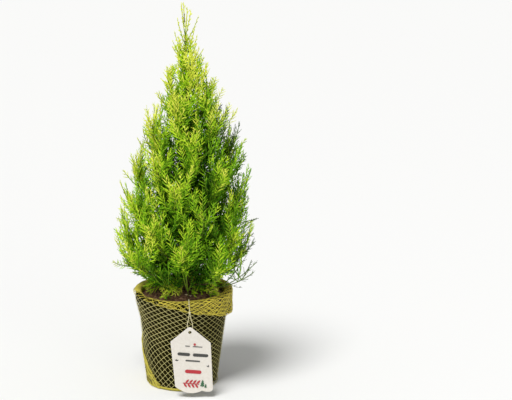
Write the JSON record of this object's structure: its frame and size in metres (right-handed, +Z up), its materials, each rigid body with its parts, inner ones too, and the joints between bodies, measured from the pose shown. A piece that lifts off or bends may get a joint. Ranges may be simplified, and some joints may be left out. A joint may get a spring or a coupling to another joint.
{
  "type": "potted lemon cypress",
  "caption": "Slim conical conifer with upright lemon-green plumes in a black pot wrapped in yellow net, with a hanging card tag.",
  "frame": {"origin": "centre of the pot's flat underside", "axes": "+Z up along the plant, -Y towards the front, where the tag hangs, +X to the right seen from the front"},
  "size_m": [0.1471, 0.1475, 0.4],
  "materials": {
    "pot_plastic": "black moulded plastic, slightly glossy",
    "soil": "moist dark brown potting mix with bark crumbs",
    "net": "pale yellow knotted plastic net",
    "card": "uncoated off-white card",
    "string": "twisted pale cotton string",
    "bark": "thin reddish brown bark",
    "foliage": "lemon-green scale-like needles in upright plumes"
  },
  "bodies": {
    "root": {"pot": "pot_plastic", "soil": "soil", "net_sleeve": "net", "net_cuff": "net", "net_gather": "net", "tag": "card", "tag_string": "string", "trunk": "bark", "bough_1": "bark", "bough_2": "bark", "bough_3": "bark", "bough_4": "bark", "bough_5": "bark", "bough_6": "bark", "plume_01": "foliage", "plume_02": "foliage", "plume_03": "foliage", "plume_04": "foliage", "plume_05": "foliage", "plume_06": "foliage", "plume_07": "foliage", "plume_08": "foliage", "plume_09": "foliage", "plume_10": "foliage", "plume_11": "foliage", "plume_12": "foliage", "plume_13": "foliage", "plume_14": "foliage", "plume_15": "foliage", "plume_16": "foliage", "plume_17": "foliage", "plume_18": "foliage", "plume_19": "foliage", "plume_20": "foliage", "plume_21": "foliage", "plume_22": "foliage", "plume_23": "foliage", "plume_24": "foliage", "plume_25": "foliage", "plume_26": "foliage", "plume_27": "foliage", "plume_28": "foliage", "plume_29": "foliage", "plume_30": "foliage", "plume_31": "foliage", "plume_32": "foliage", "plume_33": "foliage", "plume_34": "foliage", "plume_35": "foliage", "plume_36": "foliage", "plume_37": "foliage", "plume_38": "foliage", "stray_plume": "foliage", "soil_plume_1": "foliage", "soil_plume_2": "foliage", "soil_plume_3": "foliage", "soil_plume_4": "foliage", "soil_plume_5": "foliage", "leader_plume": "foliage"}
  },
  "joints": []
}
